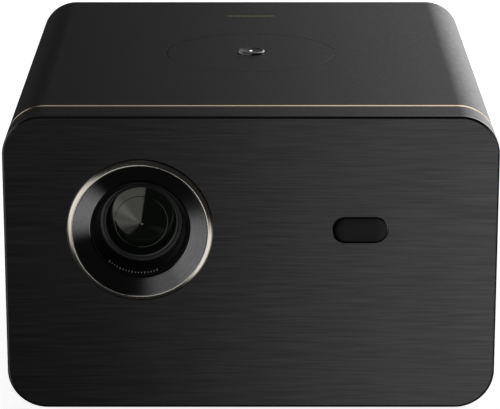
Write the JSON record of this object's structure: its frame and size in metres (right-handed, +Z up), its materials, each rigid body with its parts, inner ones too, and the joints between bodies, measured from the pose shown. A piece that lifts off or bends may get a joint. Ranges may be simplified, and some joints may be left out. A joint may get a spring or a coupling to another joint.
{
  "type": "home projector",
  "caption": "Home projector: a rounded box with a brushed front, a proud lens ring at one side, a pill-shaped sensor window, a round touch disc on top and sockets at the back.",
  "frame": {"origin": "on the surface that the feet stand on, under the middle of the overall box", "axes": "+Z up, the front with its lens faces -Y, X runs to the right seen from the front"},
  "size_m": [0.205, 0.2314, 0.132],
  "materials": {
    "shell_paint": "satin dark grey paint",
    "brushed_panel": "dark anodised, brushed along X",
    "champagne": "polished champagne anodised",
    "ring_metal": "dark, turned with fine circular brushing",
    "black_gloss": "polished black",
    "black_plastic": "fine matt texture",
    "optical_glass": "coated lens glass",
    "steel": "satin",
    "aluminium": "cast or extruded, bare",
    "brass": "turned",
    "copper": null,
    "rubber": "matt",
    "circuit_board": "green solder mask",
    "speaker_cone": "pressed paper-like cone"
  },
  "bodies": {
    "casing": {"front_panel": "brushed_panel", "front_bezel": "black_gloss", "front_band": "shell_paint", "trim_ring": "champagne", "main_shell": "shell_paint", "side_grille_left": "black_plastic", "side_grille_right": "black_plastic", "rear_panel": "black_plastic", "base_plate": "black_plastic", "chassis_plate": "steel", "tripod_bush": "brass", "foot_front_left": "rubber", "foot_front_right": "rubber", "foot_rear_left": "rubber", "foot_rear_right": "rubber", "base_screw_front_left": "steel", "base_screw_front_right": "steel", "base_screw_rear_left": "steel", "base_screw_rear_right": "steel", "lens_bezel": "ring_metal", "lens_hood": "black_plastic", "lens_barrel": "black_plastic", "focus_motor": "steel", "touch_disc": "shell_paint", "touch_board": "circuit_board", "button_switch": "steel", "top_badge": "champagne", "sensor_window": "black_gloss", "focus_camera": "circuit_board", "engine_housing": "aluminium", "relay_prism": "optical_glass", "chip_board": "circuit_board", "light_module_red": "copper", "light_module_green": "copper", "light_module_blue": "copper", "heat_sink": "aluminium", "heat_pipe": "copper", "fan_frame_left": "black_plastic", "fan_frame_right": "black_plastic", "main_board": "circuit_board", "power_jack": "black_plastic", "audio_jack": "black_plastic", "hdmi_port_1": "steel", "hdmi_port_2": "steel", "usb_port_1": "steel", "usb_port_2": "steel", "network_port": "steel", "port_plate": "black_plastic", "speaker_box_left": "black_plastic", "speaker_box_right": "black_plastic"},
    "power_button": {"power_button": "ring_metal"},
    "focus_ring": {"focus_ring": "black_plastic"},
    "focus_pinion": {"focus_pinion": "brass"},
    "lens_cell": {"lens_cell": "black_plastic", "front_lens": "optical_glass", "inner_lens": "optical_glass"},
    "fan_rotor_left": {"fan_rotor_left": "black_plastic"},
    "fan_rotor_right": {"fan_rotor_right": "black_plastic"},
    "woofer_cone_left": {"woofer_cone_left": "speaker_cone"},
    "woofer_cone_right": {"woofer_cone_right": "speaker_cone"}
  },
  "joints": [
    {"name": "power_button_press", "type": "slide", "parent": "casing", "child": "power_button", "axis": [0, 0, -1], "range_m": [0, 0.0006], "stiffness_N_per_m": 1500},
    {"name": "focus_ring_turn", "type": "hinge", "parent": "casing", "child": "focus_ring", "pos_m": [-0.046, -0.08425, 0.0824], "axis": [0, 1, 0], "range_deg": [-60, 60]},
    {"name": "focus_pinion_turn", "type": "hinge", "parent": "casing", "child": "focus_pinion", "pos_m": [-0.031, -0.08425, 0.05642], "axis": [0, 1, 0], "range_deg": [-240.5, 240.5]},
    {"name": "focus_slide", "type": "slide", "parent": "casing", "child": "lens_cell", "axis": [0, -1, 0], "range_m": [-0.0012, 0.0012]},
    {"name": "fan_left_spin", "type": "hinge", "parent": "casing", "child": "fan_rotor_left", "pos_m": [-0.033, 0.0946, 0.082], "axis": [0, 1, 0], "continuous": true},
    {"name": "fan_right_spin", "type": "hinge", "parent": "casing", "child": "fan_rotor_right", "pos_m": [0.033, 0.0946, 0.082], "axis": [0, 1, 0], "continuous": true},
    {"name": "woofer_left_stroke", "type": "slide", "parent": "casing", "child": "woofer_cone_left", "axis": [-1, 0, 0], "range_m": [-0.001, 0.001], "stiffness_N_per_m": 1200},
    {"name": "woofer_right_stroke", "type": "slide", "parent": "casing", "child": "woofer_cone_right", "axis": [1, 0, 0], "range_m": [-0.001, 0.001], "stiffness_N_per_m": 1200}
  ],
  "couplings": [
    {"joint": "focus_pinion_turn", "follows": "focus_ring_turn", "ratio": -4},
    {"joint": "focus_slide", "follows": "focus_ring_turn", "m_per_rad": 0.001145}
  ]
}
